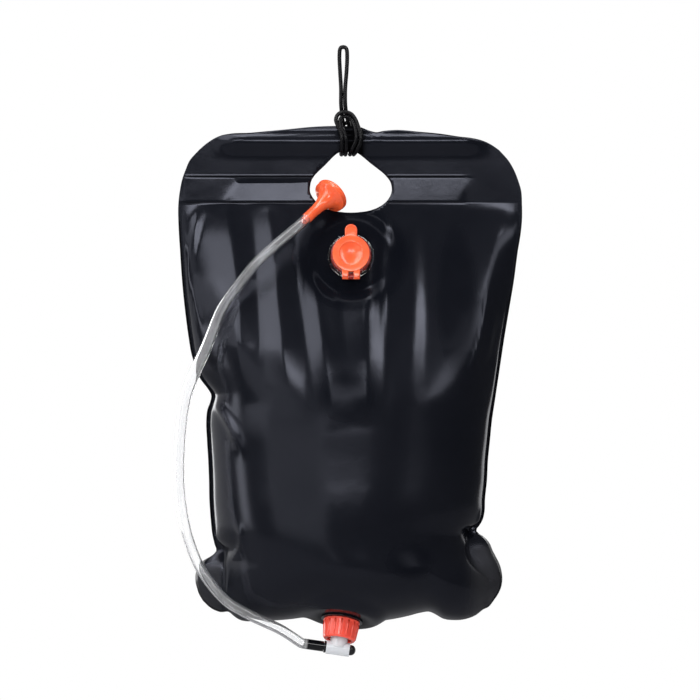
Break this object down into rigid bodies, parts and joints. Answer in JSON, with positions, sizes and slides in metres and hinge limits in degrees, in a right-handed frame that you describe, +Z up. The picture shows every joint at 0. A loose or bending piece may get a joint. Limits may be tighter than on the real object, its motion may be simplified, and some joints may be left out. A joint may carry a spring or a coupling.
{
  "type": "camp shower bag",
  "caption": "Hanging water bag with a handle hole, flip-lid fill valve, and a hose from its outlet slide valve to a shower head.",
  "frame": {"origin": "inside of the top of the hanging cord's loop, where it bears on what holds the bag", "axes": "+Z up, +Y from the front panel to the back panel, +X to the right as seen from the front"},
  "size_m": [0.4026, 0.1774, 0.707],
  "materials": {
    "black_film": "glossy black PVC film",
    "rod_plastic": "plain round rod",
    "cord_black": "glossy black cord",
    "orange_plastic": "moulded orange plastic",
    "red_plastic": "moulded red plastic",
    "clear_plastic": "clear moulded plastic",
    "clear_hose": "clear soft tube",
    "seal_rubber": "black sealing rubber",
    "black_plastic": "glossy black plastic",
    "pin_steel": "plain steel pin"
  },
  "bodies": {
    "bag": {"front_panel": "black_film", "back_panel": "black_film", "spreader_rod": "rod_plastic", "hang_cord": "cord_black", "fill_flange": "clear_plastic", "outlet_flange": "clear_plastic", "outlet_gasket": "seal_rubber", "valve_body": "clear_plastic", "hose": "clear_hose"},
    "fill_seal": {"fill_gasket": "seal_rubber"},
    "collar": {"fill_collar": "orange_plastic", "fill_hinge_pin": "pin_steel"},
    "lid": {"fill_lid": "orange_plastic", "lid_seal": "seal_rubber"},
    "nut": {"outlet_nut": "red_plastic"},
    "slide": {"valve_spool": "black_plastic", "spool_o_ring_inner": "seal_rubber", "spool_o_ring_outer": "seal_rubber"},
    "head": {"head_body": "orange_plastic", "rose_plate": "black_plastic", "rose_ring": "orange_plastic"}
  },
  "joints": [
    {"name": "collar_travel", "type": "slide", "parent": "bag", "child": "fill_seal", "axis": [0, -0.9781, 0.2079], "range_m": [0, 0.006]},
    {"name": "collar_turn", "type": "hinge", "parent": "fill_seal", "child": "collar", "pos_m": [0.0093, -0.025, -0.24074], "axis": [0, -0.9781, 0.2079], "range_deg": [0, 720]},
    {"name": "lid_swing", "type": "hinge", "parent": "collar", "child": "lid", "pos_m": [0.0093, -0.04153, -0.26463], "axis": [1, 0, 0], "range_deg": [0, 150]},
    {"name": "nut_turn", "type": "hinge", "parent": "bag", "child": "nut", "pos_m": [-0.0012, -0.03, -0.66], "axis": [-0.1324, -0.309, -0.9418], "continuous": true},
    {"name": "spool_slide", "type": "slide", "parent": "bag", "child": "slide", "axis": [-0.9903, 0, 0.1392], "range_m": [0, 0.007], "deforming": ["hose"]},
    {"name": "head_lift", "type": "slide", "parent": "bag", "child": "head", "axis": [0, -1, 0], "range_m": [0, 0.06], "deforming": ["hose"]}
  ],
  "couplings": [
    {"joint": "collar_turn", "follows": "collar_travel", "rad_per_m": 2094.4}
  ]
}
